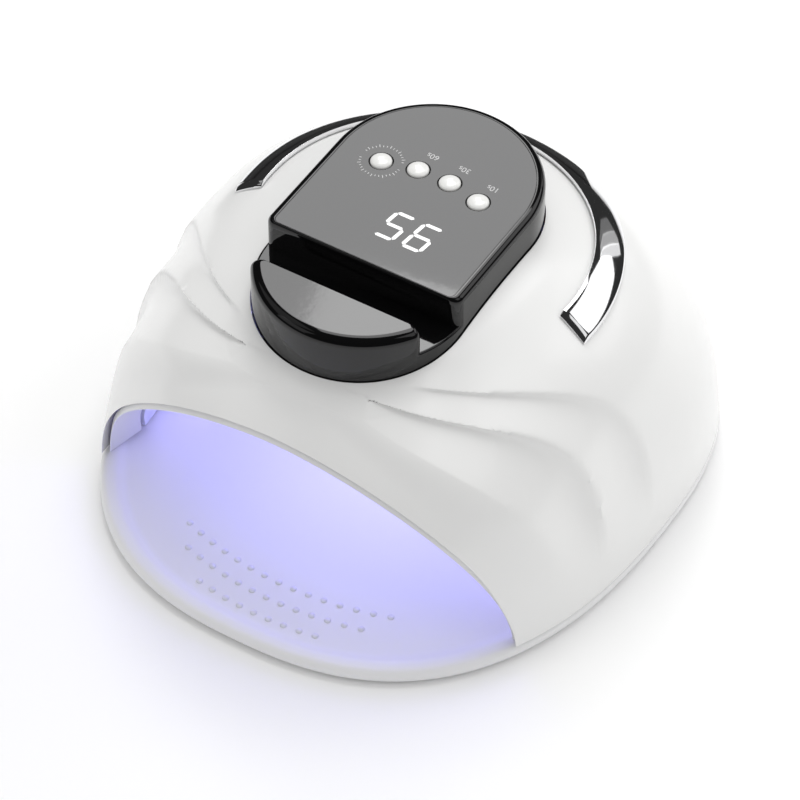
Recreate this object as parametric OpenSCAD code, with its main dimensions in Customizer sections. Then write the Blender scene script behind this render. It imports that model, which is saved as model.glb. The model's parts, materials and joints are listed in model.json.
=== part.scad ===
// UV curing lamp: a white dome with an arched hand opening, a control module on its crown,
// a chrome carry band and a loose magnetic base plate.
// The hand opening faces -Y, the user's side of the display is +Y, and +Z is up.

/* [Overall outline] */
// Half of the overall width
half_w = 103; // [95:1:110]
// Distance from the middle of the plan to the front edge
reach_front = 130; // [120:1:140]
// Distance from the middle of the plan to the rear edge
reach_rear = 94; // [88:1:102]
// Squareness of the outline at the foot
foot_power = 2.5; // [2.2:0.1:3]

/* [Base plate] */
// Height of the plate's rim above the table
plate_top = 6.5; // [6:0.1:8]
// Width of the sloping rim round the dished floor
rim_w = 9; // [7:0.5:12]
// Depth of the dished floor below the rim
dish_depth = 1.5; // [0.5:0.1:2]
// Thickness of the rubber feet
foot_h = 1; // [0.5:0.1:2]
// Pitch of the grip dots along a row
dot_pitch = 6; // [5:0.5:7]
// Radius of the rows of grip dots
dot_row_r = 130; // [110:5:160]

/* [Shell] */
// Height of the dome's crown, hidden under the module
dome_h = 106; // [100:1:112]
// Fullness of the dome's profile
dome_power = 2.65; // [2.2:0.05:3.2]
// How far the crown leans forward, in height per length
dome_lean = 0.045; // [0:0.005:0.08]
// Squareness of the outline above the shoulder
top_power = 2; // [2:0.1:2.5]
// Wall of the shell
shell_wall = 2.5; // [2:0.1:3.5]
// Depth of the flowing grooves on the front shoulders
wave_depth = 3; // [0:0.5:4]
// Half width of the arched hand opening at the table
arch_w = 87; // [85:1:90]
// Height of the arched hand opening
arch_h = 80; // [76:1:82]

/* [Control module] */
// Half width of the module
module_w = 37; // [35:0.5:40]
// Top of the display glass above the table
module_top = 117.5; // [115:0.5:122]
// Height of the phone slot's floor
slot_floor = 104.6; // [103:0.2:107]
// Top of the half-moon phone rest
rest_top = 115; // [112:0.5:116]
// Wall of the module
module_wall = 2; // [1.6:0.1:2.4]
// Thickness of the display glass
lens_t = 1.2; // [0.8:0.1:1.6]

/* [Buttons] */
// Radius of a button cap
cap_r = 3.9; // [3.5:0.1:4.2]
// Gap round a cap
cap_gap = 0.45; // [0.3:0.05:0.6]
// Height of a cap above the glass
cap_rise = 1.5; // [1:0.1:2]
// Travel of a cap
cap_travel = 0.8; // [0.5:0.1:0.8]

/* [Chrome band] */
// Inner radius of the band
band_r = 61.3; // [60:0.1:64]
// Width of the band seen from above
band_w = 10.7; // [8:0.1:12]
// Thickness of the band
band_t = 2.2; // [1.8:0.1:3]

/* [Hidden] */

plan_y = 18;                       // middle of the plan outline
plate_z = foot_h;                  // underside of the plate
floor_z = plate_top - dish_depth;  // top of the dished floor
shell_z = plate_top + 0.3;         // bottom edge of the shell
blend_h = 95;                      // height above which the outline is at its roundest
outline_points = 96;
arch_power = 2;                    // roundness of the arched opening
reflect_power = 1.75;              // roundness of the reflector
arch_columns = 36;
round_columns = 56;
shell_rows = 14;
inner_rows = 7;

// the frame of the arch: its front and back edges at the floor, its lean, its inner size
lip_y = -58.5;
lip_back_y = -49;
lip_lean = 23.5;
lip_w = 81;
lip_h = 73;

magnet_r = 4;
magnet_t = 2;
magnet_at = [[89.6, -30], [92.4, 25], [-89.6, -30], [-92.4, 25]];
ring_z = 7;
ring_t = 3.5;
screw_angles = [-22, 30, 72, 108, 150, 202];
screw_inset = 6.2;
boss_r = 4;
boss_top = 26;

reflect_w = 83;
reflect_h = 76;
reflect_front = 190;
reflect_rear = 70;
reflect_wall = 2;
reflect_foot = 7.2;
reflect_start = -47;               // front end of the reflector at the floor
reflect_lean = 19;                 // how far its front edge leans forward at the roof
reflect_sections = 14;
reflect_columns = 24;

led_y = [-40, -17, 6, 29];
led_r = 4;
led_hole_r = 4.6;
board_w = 20;
board_t = 1.6;
board_len = 92;
board_y = -5.5;
// each strip of LEDs: lean from the vertical, distance of its board from the axis on the floor
roof_strip = [0, 80];
upper_strip = [42, 80.5];
lower_strip = [74, 85.5];
led_tip = 8.4;                     // from the board to the tip of a bead
rear_led_x = 13;
rear_led_z = 24;
rear_board_y = 91;
sensor_y = -60;

button_arc_r = 59;
button_x = [-19.6, -6.4, 6.4, 19.6];
button_top_y = 20.8;
rear_arc_y = 20;                   // centre of the module's round rear end
front_arc_y = -25;                 // centre of its round front end
module_foot = 92;
slot_back_y = -28;
rest_back_y = -42;
rest_inset = 0.3;
glass_inset = 3;                   // rim round the glass, and its width at the slot
glass_near = 1;
board_top = 108;
pcb_t = 1.6;
display_size = [37.6, 19, 7.6];
display_at = [1.3, -7.6];
pcb_screw_at = [[26, 32], [-26, 32], [28.5, -20], [-28.5, -20]];
hole_gap = 0.4;

band_y = 11;
band_from = -7;
band_to = 187;
band_columns = 56;
stud_angles = [5, 62, 118, 175];
stud_r = 1.5;

dc_z = 22;
dc_x = 0;

// ---- the outline and the dome -------------------------------------------------------------

// squareness of the outline at height z
function plan_power(z) = foot_power - (foot_power - top_power) * min(max(z, 0) / blend_h, 1);

// distance from the middle to an outline in direction a, with exponent n and its three reaches
function plan_reach(a, n, w, f, b) =
    1 / pow(pow(abs(cos(a)) / w, n) + pow(abs(sin(a)) / (sin(a) < 0 ? f : b), n), 1 / n);

// points of the outline at height z, pulled in by inset
function outline(inset, z) = [for (i = [0 : outline_points - 1])
    let (a = 360 * i / outline_points,
         r = plan_reach(a, plan_power(z), half_w - inset, reach_front - inset, reach_rear - inset))
    [r * cos(a), plan_y + r * sin(a)]];

// angle along the dome's profile at height z
function rise_at(z, inset) = asin(pow(z / (dome_h - inset), dome_power / 2));

// direction of ridge k (1 to 3, from the crown to the arch) at angle t of the profile
ridge_side = [9, 24, 34];
ridge_turn = [57, 41, 31];
ridge_crest = [58, 52.5, 46];
ridge_bend = [5, 4.5, 2.4];
function ridge(k, t) =
    -ridge_side[k] - ridge_turn[k] * pow(min(t / ridge_crest[k], 1.1), ridge_bend[k]);

// depth of one scallop at fraction q of the way from its ridge to the next
function scallop(q) = q <= 0 || q >= 1 ? 0 : sin(180 * pow(q, 0.6));

function ease(v) = let (c = min(max(v, 0), 1)) c * c * (3 - 2 * c);

// how far the flowing grooves pull the dome in at direction a and angle t of the profile,
// given the angle at which the dome ends at the module: first the grooves, then the arch's face
function wave(a, t, end) =
    let (d = 90 - abs(((a + 810) % 360) - 180),
         fade = wave_depth * ease((t - 4) / 16) * ease((end - t) / 8) * ease((2 - d) / 12),
         r0 = ridge(0, t), r1 = ridge(1, t), r2 = ridge(2, t))
    [fade * (0.8 * scallop((r0 - d) / (r0 - r1)) + scallop((r1 - d) / (r1 - r2))),
     fade * ease((r2 - d) / 14)];

// how much lower the dome is than its upright form, at height z and distance v behind the middle
function lean(z, v) = dome_lean * v * pow(z / dome_h, 2);

// point of the dome in direction a at angle t of the profile, pulled in by inset
function dome_point(a, t, inset) =
    let (z = (dome_h - inset) * pow(sin(t), 2 / dome_power),
         s = pow(cos(t), 2 / dome_power),
         r = s * plan_reach(a, plan_power(z), half_w - inset, reach_front - inset,
                            reach_rear - inset),
         pull = wave(a, t, hole_rise(a, inset)))
    [(r - pull[0]) * cos(a), plan_y + (r - pull[0] - pull[1]) * sin(a),
     z - lean(z, r * sin(a))];

// height of the dome over a point of the plan, above its shoulder
function dome_z(x, y, inset = 0) =
    let (f = y < plan_y ? reach_front - inset : reach_rear - inset,
         q = pow(pow(abs(x) / (half_w - inset), top_power)
                 + pow(abs(y - plan_y) / f, top_power), 1 / top_power))
    let (z = (dome_h - inset) * pow(1 - pow(q, dome_power), 1 / dome_power))
    z - lean(z, y - plan_y);

// signed distance-like value: below 0 inside the module's outline grown by g
function module_side(x, y, g) =
    let (w = module_w + g)
    y > rear_arc_y ? norm([x, y - rear_arc_y]) - w
    : y > front_arc_y ? abs(x) - w
    : norm([x, y - front_arc_y]) - w;

// distance from the middle of the plan to the module's outline in direction a
function module_reach(a, lo = 20, hi = 110, n = 20) =
    let (m = (lo + hi) / 2)
    n == 0 ? m
    : module_side(m * cos(a), plan_y + m * sin(a), hole_gap) > 0 ? module_reach(a, lo, m, n - 1)
    : module_reach(a, m, hi, n - 1);

// angle of the profile at which the dome meets the module's hole
function hole_rise(a, inset) =
    let (s = module_reach(a) / plan_reach(a, top_power, half_w - inset, reach_front - inset,
                                          reach_rear - inset))
    acos(pow(s, dome_power / 2));

// ---- the arched opening -------------------------------------------------------------------

arch_foot = asin(pow(shell_z / arch_h, arch_power / 2));

// point of an arch of half width w and height h at angle q, in the XZ plane
function arch_point(q, w, h) =
    [w * sign(cos(q)) * pow(abs(cos(q)), 2 / arch_power), h * pow(sin(q), 2 / arch_power)];

// front of the dome at x and z
function dome_front(x, z, inset) =
    let (s = pow(1 - pow(z / (dome_h - inset), dome_power), 1 / dome_power), n = plan_power(z))
    plan_y - (reach_front - inset) * s * pow(1 - pow(abs(x) / ((half_w - inset) * s), n), 1 / n);

// one column of the shell at the arch: its direction and the angle at which it starts
function arch_column(q, inset) =
    let (p = arch_point(q, arch_w, arch_h), z = upright(p[0], p[1], p[1], inset, 6))
    [atan2(dome_front(p[0], z, inset) - plan_y, p[0]), rise_at(z, inset)];

// height on the upright form of the front point that the lean brings to height z
function upright(x, z, guess, inset, steps) = steps == 0 ? guess
    : upright(x, z, z + lean(guess, dome_front(x, guess, inset) - plan_y), inset, steps - 1);

// all columns of the shell, clockwise from the right foot of the arch
function columns(inset) =
    let (front = [for (k = [0 : arch_columns])
             arch_column(arch_foot + (180 - 2 * arch_foot) * k / arch_columns, inset)],
         right = front[0][0],
         left = front[arch_columns][0],
         turn = 360 - (right - left))
    concat(front, [for (k = [1 : round_columns - 1])
        [left - turn * k / round_columns, rise_at(shell_z, inset)]]);

// triangles of a grid whose column j holds its points at first + j * rows + i, closed round
function grid_faces(first, cols, rows, flip) = [for (j = [0 : cols - 1], i = [0 : rows - 2])
    let (k = (j + 1) % cols,
         p = first + j * rows + i, q = first + k * rows + i)
    each flip ? [[p, p + 1, q], [p + 1, q + 1, q]] : [[p, q, p + 1], [p + 1, q, q + 1]]];

// triangles of a strip between the points at a + j * sa and those at b + j * sb, closed round
function strip_faces(a, sa, b, sb, cols) = [for (j = [0 : cols - 1])
    let (k = (j + 1) % cols)
    each [[a + j * sa, b + j * sb, a + k * sa], [b + j * sb, b + k * sb, a + k * sa]]];

// the hollow dome with its arch and its module hole left open
module dome_wall() {
    function skin(inset, rows) = [for (c = columns(inset))
        let (top = hole_rise(c[0], inset))
        for (i = [0 : rows]) dome_point(c[0], c[1] + (top - c[1]) * i / rows, inset)];
    cols = arch_columns + round_columns;
    outer_n = shell_rows + 1;
    inner_n = inner_rows + 1;
    inner_first = cols * outer_n;
    polyhedron(
        points = concat(skin(0, shell_rows), skin(shell_wall, inner_rows)),
        faces = concat(grid_faces(0, cols, outer_n, true),
                       grid_faces(inner_first, cols, inner_n, false),
                       strip_faces(0, outer_n, inner_first, inner_n, cols),
                       strip_faces(inner_first + inner_rows, inner_n, shell_rows, outer_n, cols)),
        convexity = 10);
}

// places of the chassis screws on the plan
function screw_place(a) =
    let (r = plan_reach(a, plan_power(ring_z), half_w - screw_inset, reach_front - screw_inset,
                        reach_rear - screw_inset))
    [r * cos(a), plan_y + r * sin(a)];

module at_screws() {
    for (a = screw_angles) translate(screw_place(a)) children();
}

// a place on the band's middle line
function band_place(a) =
    [(band_r + band_w / 2) * cos(a), band_y + (band_r + band_w / 2) * sin(a)];

// ---- base body ----------------------------------------------------------------------------

// the loose base plate: rounded edge, flat rim and dished floor
module base_plate() {
    rings = [[3, plate_z], [0.8, plate_z + 0.6], [0, plate_z + 2], [0.3, plate_top - 1.2],
             [1.4, plate_top - 0.2], [2.4, plate_top], [rim_w - 4, plate_top],
             [rim_w, floor_z]];
    n = outline_points;
    last = len(rings) - 1;
    color("white") difference() {
        polyhedron(
            points = [for (g = rings, p = outline(g[0], 0)) [p[0], p[1], g[1]]],
            faces = concat([[for (i = [0 : n - 1]) i]],
                [for (g = [0 : last - 1], i = [0 : n - 1])
                    let (k = (i + 1) % n)
                    each [[g * n + i, (g + 1) * n + i, g * n + k],
                          [(g + 1) * n + i, (g + 1) * n + k, g * n + k]]],
                [[for (i = [n - 1 : -1 : 0]) last * n + i]]),
            convexity = 4);
        for (p = magnet_at) translate([p[0], p[1], floor_z - magnet_t - 0.2])
            cylinder(r = magnet_r + 0.1, h = magnet_t + 1, $fn = 48);
    }
}

// four rubber feet stuck under the plate
module base_feet() {
    color("dimgray") for (x = [-1, 1], p = [[58, -62], [66, 62]])
        translate([x * p[0], p[1], 0]) cylinder(r = 7, h = foot_h, $fn = 48);
}

// the plate's magnets
module base_magnets() {
    color("silver") for (p = magnet_at) translate([p[0], p[1], floor_z - magnet_t - 0.2])
        cylinder(r = magnet_r, h = magnet_t, $fn = 48);
}

// three curved rows of raised grip dots
module grip_dots() {
    rows = [[15, -83.4], [13, -91.5], [9, -99.7]];
    color("whitesmoke") for (row = rows, i = [0 : row[0] - 1])
        let (x = (i - (row[0] - 1) / 2) * dot_pitch)
        translate([x, row[1] + dot_row_r - sqrt(dot_row_r * dot_row_r - x * x), floor_z])
            cylinder(r1 = 1.2, r2 = 0.8, h = 0.8, $fn = 24);
}

// ---- lamp body ----------------------------------------------------------------------------

// the white dome, with screw bosses inside and holes for the inlet and the band's studs
module upper_shell() {
    color("white") difference() {
        union() {
            dome_wall();
            at_screws() translate([0, 0, ring_z + ring_t])
                cylinder(r = boss_r, h = boss_top - ring_z - ring_t, $fn = 32);
        }
        at_screws() translate([0, 0, ring_z]) cylinder(r = 1.2, h = 14, $fn = 24);
        translate([dc_x, plan_y + reach_rear - 8, dc_z]) rotate([-90, 0, 0])
            cylinder(r = 5, h = 12, $fn = 48);
        for (a = stud_angles) translate([each band_place(a), 80])
            cylinder(r = stud_r + 0.3, h = 30, $fn = 24);
    }
}

// the frame that lines the arched opening and funnels in to the reflector
module arch_frame() {
    gap = 0.5;
    wall = 1.8;
    n = arch_columns;
    // sections from the outer lip to the back edge: [half width, height, foot y, lean to the roof]
    function rail(w, h, foot_y, lean, q) =
        let (p = arch_point(q, w, h)) [p[0], foot_y - lean * max(p[1] - shell_z, 0) / arch_h,
                                       max(p[1], shell_z)];
    function turn(k, h) = let (q = asin(pow(shell_z / h, arch_power / 2)))
        q + (180 - 2 * q) * k / n;
    rails = [[arch_w - gap - wall, arch_h - gap - wall, lip_y, lip_lean],
             [arch_w - gap, arch_h - gap, lip_y, lip_lean],
             [lip_w + wall, lip_h + wall, lip_back_y, lip_lean],
             [lip_w, lip_h, lip_back_y, lip_lean]];
    color("white") polyhedron(
        points = [for (k = [0 : n], r = rails) rail(r[0], r[1], r[2], r[3], turn(k, r[1]))],
        faces = concat([[0, 1, 2, 3]], [[for (i = [3 : -1 : 0]) n * 4 + i]],
            [for (k = [0 : n - 1], i = [0 : 3])
                let (j = (i + 1) % 4)
                each [[k * 4 + i, (k + 1) * 4 + i, k * 4 + j],
                      [(k + 1) * 4 + i, (k + 1) * 4 + j, k * 4 + j]]]),
        convexity = 6);
}

// how full the reflector is at distance y along the lamp, for a side or a roof exponent
function reflect_scale(y, n, grow) =
    let (f = y < plan_y ? reflect_front : reflect_rear + grow)
    pow(max(1 - pow(abs(y - plan_y) / f, n), 0), 1 / n);

// the white inner dome, with a hole for each LED and for the sensor
module reflector() {
    function arched_skin(grow) = [for (u = [0 : reflect_sections], k = [0 : reflect_columns])
        let (q = 180 * k / reflect_columns,
             lift = pow(sin(q), 2 / reflect_power),
             end_y = plan_y + reflect_rear - 2 + grow,
             f = u / reflect_sections,
             y = reflect_start + (end_y - reflect_start) * (1 - pow(1 - f, 1.5))
                 - reflect_lean * (1 - f) * lift,
             w = (reflect_w + grow) * reflect_scale(y, 2.5, grow),
             h = (reflect_h + grow) * reflect_scale(y, dome_power, grow))
        [w * sign(cos(q)) * pow(abs(cos(q)), 2 / reflect_power), y,
         reflect_foot + (h - reflect_foot) * lift]];
    c = reflect_columns + 1;
    s = reflect_sections;
    inner = c * (s + 1);
    color("aliceblue") difference() {
        polyhedron(
            points = concat(arched_skin(reflect_wall), arched_skin(0)),
            faces = concat(
                [for (u = [0 : s - 1], k = [0 : c - 2])
                    let (p = u * c + k) each [[p, p + 1, p + c], [p + 1, p + c + 1, p + c]]],
                [for (u = [0 : s - 1], k = [0 : c - 2])
                    let (p = inner + u * c + k) each [[p, p + c, p + 1], [p + 1, p + c, p + c + 1]]],
                [for (k = [0 : c - 2]) each [[k, inner + k, k + 1],
                                             [inner + k, inner + k + 1, k + 1]]],
                [for (u = [0 : s - 1])
                    let (p = u * c, q = u * c + c - 1)
                    each [[p, p + c, inner + p], [inner + p, p + c, inner + p + c],
                          [q, inner + q, q + c], [inner + q, inner + q + c, q + c]]],
                [[for (k = [0 : c - 1]) s * c + k], [for (k = [c - 1 : -1 : 0]) inner + s * c + k],
                 [s * c, s * c + c - 1, inner + s * c + c - 1, inner + s * c]]),
            convexity = 8);
        for (strip = led_strips()) on_strip(strip) for (y = led_y)
            translate([0, y, -led_tip - 6]) cylinder(r = led_hole_r, h = led_tip + 8, $fn = 32);
        for (x = [-1, 1]) translate([x * rear_led_x, rear_board_y, rear_led_z])
            rotate([90, 0, 0]) cylinder(r = led_hole_r, h = 14, $fn = 32);
        translate([0, sensor_y, 60]) cylinder(r = 3.4, h = 30, $fn = 32);
    }
}

// lean and radius of the five strips
function led_strips() =
    [roof_strip, upper_strip, [-upper_strip[0], upper_strip[1]],
     lower_strip, [-lower_strip[0], lower_strip[1]]];

// frame of a strip: Z points away from the cavity, and z = 0 is the board's inner face
module on_strip(strip) {
    rotate([0, strip[0], 0]) translate([0, 0, strip[1]]) children();
}

module led_board(strip) {
    color("gainsboro") on_strip(strip) translate([-board_w / 2, board_y - board_len / 2, 0])
        cube([board_w, board_len, board_t]);
}
module led_board_roof() { led_board(roof_strip); }
module led_board_right_upper() { led_board(upper_strip); }
module led_board_left_upper() { led_board([-upper_strip[0], upper_strip[1]]); }
module led_board_right_lower() { led_board(lower_strip); }
module led_board_left_lower() { led_board([-lower_strip[0], lower_strip[1]]); }
module led_board_rear() {
    color("gainsboro") translate([-25, rear_board_y, rear_led_z - 9]) cube([50, board_t, 18]);
}

// one LED bead that hangs below its board, with a domed tip
module bead() {
    rotate_extrude($fn = 32) polygon([[0, 0], [led_r, 0], [led_r, -led_tip + 3],
        for (i = [1 : 5]) [led_r * cos(i * 18), -led_tip + 3 - 3 * sin(i * 18)]]);
}
module led_beads() {
    color("lightyellow") {
        for (strip = led_strips()) on_strip(strip) for (y = led_y) translate([0, y, 0]) bead();
        for (x = [-1, 1]) translate([x * rear_led_x, rear_board_y, rear_led_z])
            rotate([-90, 0, 0]) bead();
    }
}

// the infrared sensor that wakes the lamp, on its own small board
module motion_sensor() {
    color("black") translate([0, sensor_y, 0]) {
        translate([0, 0, 73]) cylinder(r = 3, h = 7, $fn = 32);
        translate([-6, -6, 80]) cube([12, 12, 1.2]);
    }
}

// the flat frame that closes the shell round the reflector, with pockets for the magnets
module chassis_ring() {
    inner = [for (i = [0 : outline_points - 1])
        let (a = 360 * i / outline_points,
             r = plan_reach(a, foot_power, reflect_w + reflect_wall + 0.4, reflect_front,
                            reflect_rear + reflect_wall + 0.4))
        [r * cos(a), plan_y + r * sin(a)]];
    color("white") difference() {
        translate([0, 0, ring_z]) linear_extrude(ring_t) difference() {
            polygon(outline(shell_wall + 0.7, ring_z + ring_t));
            polygon(inner);
            translate([-150, -250]) square([300, 250 + reflect_start + 3]);
        }
        for (p = magnet_at) translate([p[0], p[1], ring_z + 0.5])
            cylinder(r = magnet_r + 0.1, h = ring_t, $fn = 48);
        at_screws() translate([0, 0, ring_z - 1]) cylinder(r = 1.7, h = ring_t + 2, $fn = 24);
        at_screws() translate([0, 0, ring_z - 1]) cylinder(r = 3.1, h = 2.8, $fn = 32);
    }
}

// self-tapping screws that hold the ring to the shell's bosses
module chassis_screws() {
    color("silver") at_screws() {
        translate([0, 0, ring_z + 0.2]) cylinder(r = 2.8, h = 1.6, $fn = 32);
        translate([0, 0, ring_z + 1.8]) cylinder(r = 1.15, h = 9, $fn = 24);
    }
}

// the lamp's magnets, above the plate's
module lamp_magnets() {
    color("silver") for (p = magnet_at) translate([p[0], p[1], ring_z + 0.5])
        cylinder(r = magnet_r, h = magnet_t, $fn = 48);
}

// ---- control module -----------------------------------------------------------------------

// outline of the module, pulled in by g: round rear, straight sides, full rounded front
module module_plan(g) {
    w = module_w - g;
    polygon(concat(
        [for (i = [0 : 24]) let (a = 180 * i / 24) [w * cos(a), rear_arc_y + w * sin(a)]],
        [for (i = [0 : 24]) let (a = 180 + 180 * i / 24)
            [w * cos(a), front_arc_y + w * sin(a)]]));
}

// the part of that outline behind the slot, or in front of it when front is true; near is how
// far its straight edge at the slot is pulled in
module module_part(g, front, near) {
    intersection() {
        module_plan(g);
        if (front) translate([-60, -100]) square([120, 100 + rest_back_y - near]);
        else translate([-60, slot_back_y + near]) square([120, 120]);
    }
}

// place of button i, on a shallow arc
function button_place(i) =
    [button_x[i], button_top_y - (button_arc_r
        - sqrt(button_arc_r * button_arc_r - button_x[i] * button_x[i]))];

// the black body of the module, with the phone slot and the half-moon rest
module module_housing() {
    shelf = module_top - lens_t - 1.6;
    color([0.05, 0.05, 0.06]) difference() {
        union() {
            translate([0, 0, module_foot]) linear_extrude(slot_floor - module_foot) module_plan(0);
            translate([0, 0, slot_floor]) linear_extrude(module_top - 3 - slot_floor)
                module_part(0, false, 0);
            translate([0, 0, module_top - 3]) linear_extrude(2) module_part(0.6, false, 0.2);
            translate([0, 0, module_top - 1]) linear_extrude(1) module_part(1.8, false, 0.5);
            translate([0, 0, slot_floor]) linear_extrude(rest_top - 2 - slot_floor)
                module_part(rest_inset, true, 0);
            translate([0, 0, rest_top - 2]) linear_extrude(2) module_part(rest_inset + 2, true, 0.4);
            for (x = [-1, 1], y = [-8, 28]) translate([x * 37 - 2, y - 3, 95.5]) cube([4, 6, 2.5]);
        }
        translate([0, 0, module_foot - 1]) linear_extrude(slot_floor - 2 - module_foot + 1)
            module_plan(module_wall);
        translate([0, 0, slot_floor - 3]) linear_extrude(shelf - slot_floor + 3)
            module_part(module_wall, false, module_wall);
        translate([0, 0, slot_floor - 3]) linear_extrude(rest_top - 2 - slot_floor + 1)
            module_part(5, true, 2);
        translate([0, 0, module_top - lens_t]) linear_extrude(lens_t + 1)
            module_part(glass_inset, false, glass_near);
        translate([display_at[0] - display_size[0] / 2 - 0.4,
                   display_at[1] - display_size[1] / 2 - 0.4, shelf - 1])
            cube([display_size[0] + 0.8, display_size[1] + 0.8, 10]);
        for (i = [0 : 3]) translate([each button_place(i), shelf - 1])
            cylinder(r = cap_r + cap_gap, h = 10, $fn = 48);
    }
    color([0.05, 0.05, 0.06]) for (p = pcb_screw_at) translate([each p, board_top])
        difference() {
            cylinder(r = 3, h = shelf - board_top, $fn = 32);
            translate([0, 0, -1]) cylinder(r = 1.1, h = shelf - board_top, $fn = 24);
        }
}

// the smoked glass over the display, with holes for the caps
module display_glass() {
    color([0.3, 0.3, 0.32]) difference() {
        translate([0, 0, module_top - lens_t + 0.02]) linear_extrude(lens_t - 0.02)
            module_part(glass_inset + 0.15, false, glass_near + 0.15);
        for (i = [0 : 3]) translate([each button_place(i), module_top - 5])
            cylinder(r = cap_r + cap_gap, h = 10, $fn = 48);
    }
}

// the three-digit display
module digit_display() {
    color("whitesmoke") translate([display_at[0] - display_size[0] / 2,
                                   display_at[1] - display_size[1] / 2, board_top])
        cube(display_size);
}

// the circuit board under the module's top
module control_board() {
    color("darkgreen") difference() {
        translate([0, 0, board_top - pcb_t]) linear_extrude(pcb_t)
            module_part(module_wall + 1, false, module_wall + 1);
        for (p = pcb_screw_at) translate([each p, board_top - 5])
            cylinder(r = 1.4, h = 10, $fn = 24);
    }
}

// the larger components under the board
module board_parts() {
    under = board_top - pcb_t;
    color("dimgray") {
        for (x = [-14, 0, 14]) translate([x - 3, 12, under - 2.3]) cube([6, 6.5, 2.3]);
        translate([-4, -12, under - 1.6]) cube([10, 8, 1.6]);
        for (x = [-20, 20]) translate([x, 0, under - 7]) cylinder(r = 3.2, h = 7, $fn = 32);
        translate([-6, 30, under - 6]) cube([12, 6, 6]);
    }
}

// screws that hold the board to the module's bosses
module board_screws() {
    under = board_top - pcb_t;
    color("silver") for (p = pcb_screw_at) translate(p) {
        translate([0, 0, under - 1.6]) cylinder(r = 2.4, h = 1.6, $fn = 32);
        translate([0, 0, under]) cylinder(r = 1.05, h = 6, $fn = 24);
    }
}

// one small switch under each cap
module tact_switches() {
    color("gray") for (i = [0 : 3]) translate([each button_place(i), board_top]) {
        translate([-3, -3, 0]) cube([6, 6, 2.8]);
        cylinder(r = 1.7, h = 3.3, $fn = 32);
    }
}

// a domed cap with a flange that keeps it in
module button(i) {
    flange_z = module_top - lens_t - 1.6 - 0.3;
    top = module_top + cap_rise;
    color("white") translate(button_place(i)) rotate_extrude($fn = 48) polygon([
        [0, flange_z - 1.2], [cap_r + 1.1, flange_z - 1.2], [cap_r + 1.1, flange_z],
        [cap_r, flange_z], [cap_r, top - 1.5],
        for (k = [1 : 6]) [cap_r * cos(15 * k), top - 1.5 + 1.5 * sin(15 * k)]]);
}
module button_1() { button(0); }
module button_2() { button(1); }
module button_3() { button(2); }
module button_4() { button(3); }

// ---- band and inlet -----------------------------------------------------------------------

// the chrome band that lies on the dome round the back of the crown
module chrome_band() {
    lift = 0.25;
    n = band_columns;
    function spot(a, r, up) =
        let (x = r * cos(a), y = band_y + r * sin(a)) [x, y, dome_z(x, y) + up];
    color("silver") union() {
        polyhedron(
            points = [for (k = [0 : n])
                let (a = band_from + (band_to - band_from) * k / n)
                each [spot(a, band_r, lift), spot(a, band_r + band_w / 2, lift + 0.25),
                      spot(a, band_r + band_w, lift), spot(a, band_r + band_w, lift + band_t),
                      spot(a, band_r + band_w / 2, lift + band_t + 0.25),
                      spot(a, band_r, lift + band_t)]],
            faces = concat([[for (i = [5 : -1 : 0]) i]], [[for (i = [0 : 5]) n * 6 + i]],
                [for (k = [0 : n - 1], i = [0 : 5])
                    let (j = (i + 1) % 6)
                    each [[k * 6 + i, k * 6 + j, (k + 1) * 6 + i],
                          [(k + 1) * 6 + i, k * 6 + j, (k + 1) * 6 + j]]]),
            convexity = 6);
        for (a = stud_angles)
            let (p = band_place(a), z = dome_z(p[0], p[1]))
            translate([p[0], p[1], z - 7.5]) cylinder(r = stud_r, h = 8.5, $fn = 24);
    }
}

// push-on nuts that hold the band's studs from inside
module band_nuts() {
    color("silver") for (a = stud_angles)
        let (p = band_place(a))
        translate([p[0], p[1], dome_z(p[0], p[1]) - 7.3]) difference() {
            cylinder(r = 3, h = 0.6, $fn = 32);
            translate([0, 0, -1]) cylinder(r = stud_r + 0.05, h = 3, $fn = 24);
        }
}

// the power inlet at the back: barrel, bore and centre pin
module dc_socket() {
    back = plan_y + reach_rear;
    color([0.1, 0.1, 0.1]) translate([dc_x, 0, dc_z]) {
        difference() {
            union() {
                translate([-7, back - 15, -6]) cube([14, 11, 12]);
                translate([0, back - 4.5, 0]) rotate([-90, 0, 0]) cylinder(r = 4.6, h = 4, $fn = 48);
            }
            translate([0, back - 12, 0]) rotate([-90, 0, 0]) cylinder(r = 2.9, h = 14, $fn = 48);
        }
        translate([0, back - 12.5, 0]) rotate([-90, 0, 0]) cylinder(r = 1, h = 10, $fn = 24);
    }
}

// the cable from the inlet up to the control board, one tube along its route
module wiring_harness() {
    r = 1.6;
    sides = 10;
    path = [[100, dc_z + 6.5], [100, 40], [98.5, 54], [90.5, 68], [77, 79], [62, 86.5], [48, 89],
            [39, 93], [36, 100.2]];
    last = len(path) - 1;
    function along(i) = path[min(i + 1, last)] - path[max(i - 1, 0)];
    color("red") polyhedron(
        points = [for (i = [0 : last], k = [0 : sides - 1])
            let (d = i == last ? [0, 1] : along(i) / norm(along(i)), a = 360 * k / sides)
            [r * cos(a), path[i][0] + r * sin(a) * d[1], path[i][1] - r * sin(a) * d[0]]],
        faces = concat([[for (k = [0 : sides - 1]) k]],
            [[for (k = [sides - 1 : -1 : 0]) last * sides + k]],
            [for (i = [0 : last - 1], k = [0 : sides - 1])
                let (p = i * sides + k, q = i * sides + (k + 1) % sides)
                each [[p, p + sides, q], [p + sides, q + sides, q]]]),
        convexity = 4);
}

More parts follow.
